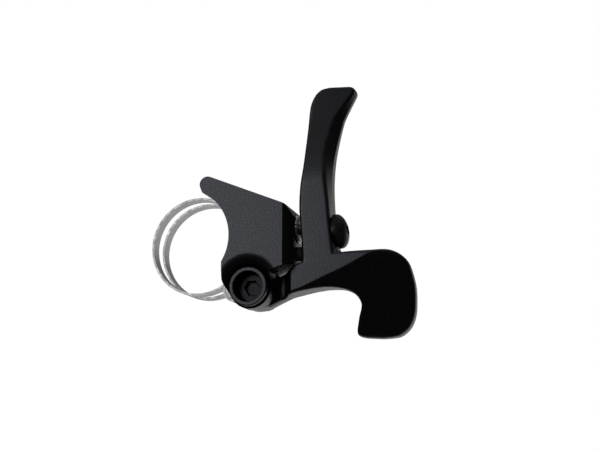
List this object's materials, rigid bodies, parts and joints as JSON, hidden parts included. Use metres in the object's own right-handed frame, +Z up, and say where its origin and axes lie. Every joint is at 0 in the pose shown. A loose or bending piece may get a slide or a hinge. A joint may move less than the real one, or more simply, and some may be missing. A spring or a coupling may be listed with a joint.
{
  "type": "dropper post remote lever",
  "caption": "Handlebar lever for a dropper seatpost: slotted steel strap clamp, black machined perch, and a one-piece pivoting lever with thumb blade and paddle.",
  "frame": {"origin": "on the handlebar's axis, at the middle of the strap's width", "axes": "+Y along the handlebar away from the lever's face, +X from the bar towards the lever, +Z up towards the thumb blade's tip"},
  "size_m": [0.0624, 0.0299, 0.0568],
  "materials": {
    "body_anodised": "satin black anodised",
    "lever_anodised": "satin black anodised",
    "collar_anodised": "satin dark grey anodised",
    "strap_stainless": "satin stainless",
    "pin_steel": "satin stainless",
    "nose_stainless": "turned stainless",
    "bolt_black": "black oxide",
    "bushing_polymer": "matte",
    "spring_steel": "satin stainless",
    "pad_rubber": "matte",
    "liner_polymer": "matte",
    "insert_brass": "turned"
  },
  "bodies": {
    "perch": {"perch_body": "body_anodised", "clamp_strap": "strap_stainless", "strap_anchor_pin": "pin_steel", "strap_cross_nut": "pin_steel", "clamp_bolt": "bolt_black", "clamp_washer": "pin_steel", "pivot_bolt": "bolt_black", "pivot_lock_nut": "pin_steel", "lever_stop_pad": "pad_rubber", "spring_guide": "liner_polymer", "thrust_washer": "pin_steel", "outlet_collar": "collar_anodised", "outlet_nose": "nose_stainless", "cable_elbow": "liner_polymer", "adjuster_insert": "insert_brass"},
    "lever_arm": {"lever": "lever_anodised", "pivot_bushing": "bushing_polymer", "return_spring": "spring_steel", "cable_anchor_bolt": "bolt_black", "cable_anchor_washer": "pin_steel"},
    "adjuster": {"barrel_adjuster": "collar_anodised", "adjuster_o_ring": "pad_rubber"}
  },
  "joints": [
    {"name": "lever_pivot", "type": "hinge", "parent": "perch", "child": "lever_arm", "pos_m": [0.0155, 0, -0.0115], "axis": [0, 1, 0], "range_deg": [0, 22], "stiffness_Nm_per_rad": 0.08, "springref_deg": -51.57},
    {"name": "adjuster_turn", "type": "hinge", "parent": "perch", "child": "adjuster", "pos_m": [0.0152, 0, 0.0019], "axis": [0, 1, 0], "continuous": true}
  ]
}
